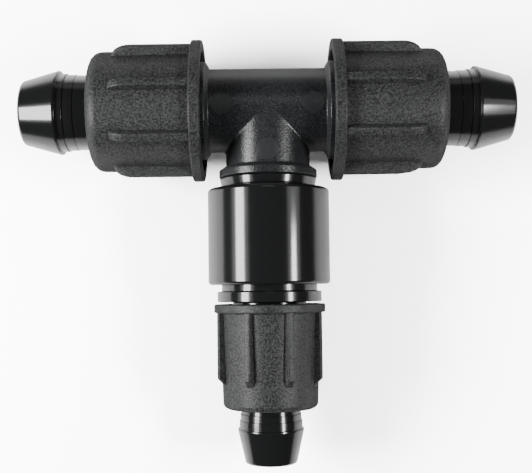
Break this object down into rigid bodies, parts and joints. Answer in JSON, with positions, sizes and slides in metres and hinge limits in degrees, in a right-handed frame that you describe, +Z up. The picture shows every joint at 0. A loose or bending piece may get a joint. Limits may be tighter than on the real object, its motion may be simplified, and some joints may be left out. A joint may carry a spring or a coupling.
{
  "type": "reducing tee fitting",
  "caption": "Black plastic reducing tee for irrigation tubing, with a barb and a ribbed screw lock nut on each end of the run and on the smaller branch.",
  "frame": {"origin": "below the middle of the part's box, on the surface that it lies on", "axes": "+X along the run, -Y along the branch from the run, +Z up from the surface"},
  "size_m": [0.1274, 0.1098, 0.0369],
  "materials": {
    "tee_satin": "satin black moulding with a fine spark-eroded grain",
    "gloss_black": "polished black moulding",
    "nut_matt": "matt charcoal black, faintly mottled"
  },
  "bodies": {
    "fitting": {"tee_body": "tee_satin", "left_barb_insert": "gloss_black", "right_barb_insert": "gloss_black", "reducing_sleeve": "gloss_black", "branch_barb_insert": "gloss_black"},
    "left_nut_carriage": {"left_nut_thread": "nut_matt"},
    "left_nut": {"left_lock_nut": "nut_matt"},
    "right_nut_carriage": {"right_nut_thread": "nut_matt"},
    "right_nut": {"right_lock_nut": "nut_matt"},
    "branch_nut_carriage": {"branch_nut_thread": "nut_matt"},
    "branch_nut": {"branch_lock_nut": "nut_matt"}
  },
  "joints": [
    {"name": "left_nut_travel", "type": "slide", "parent": "fitting", "child": "left_nut_carriage", "axis": [-1, 0, 0], "range_m": [0, 0.00676]},
    {"name": "left_nut_turn", "type": "hinge", "parent": "left_nut_carriage", "child": "left_nut", "pos_m": [-0.031, 0.03642, 0.01845], "axis": [1, 0, 0], "range_deg": [0, 810]},
    {"name": "right_nut_travel", "type": "slide", "parent": "fitting", "child": "right_nut_carriage", "axis": [1, 0, 0], "range_m": [0, 0.00676]},
    {"name": "right_nut_turn", "type": "hinge", "parent": "right_nut_carriage", "child": "right_nut", "pos_m": [0.031, 0.03642, 0.01845], "axis": [-1, 0, 0], "range_deg": [0, 810]},
    {"name": "branch_nut_travel", "type": "slide", "parent": "fitting", "child": "branch_nut_carriage", "axis": [0, -1, 0], "range_m": [0, 0.00481]},
    {"name": "branch_nut_turn", "type": "hinge", "parent": "branch_nut_carriage", "child": "branch_nut", "pos_m": [0, -0.02738, 0.01845], "axis": [0, 1, 0], "range_deg": [0, 720]}
  ],
  "couplings": [
    {"joint": "left_nut_travel", "follows": "left_nut_turn", "m_per_rad": 0.00047746},
    {"joint": "right_nut_travel", "follows": "right_nut_turn", "m_per_rad": 0.00047746},
    {"joint": "branch_nut_travel", "follows": "branch_nut_turn", "m_per_rad": 0.00038197}
  ]
}
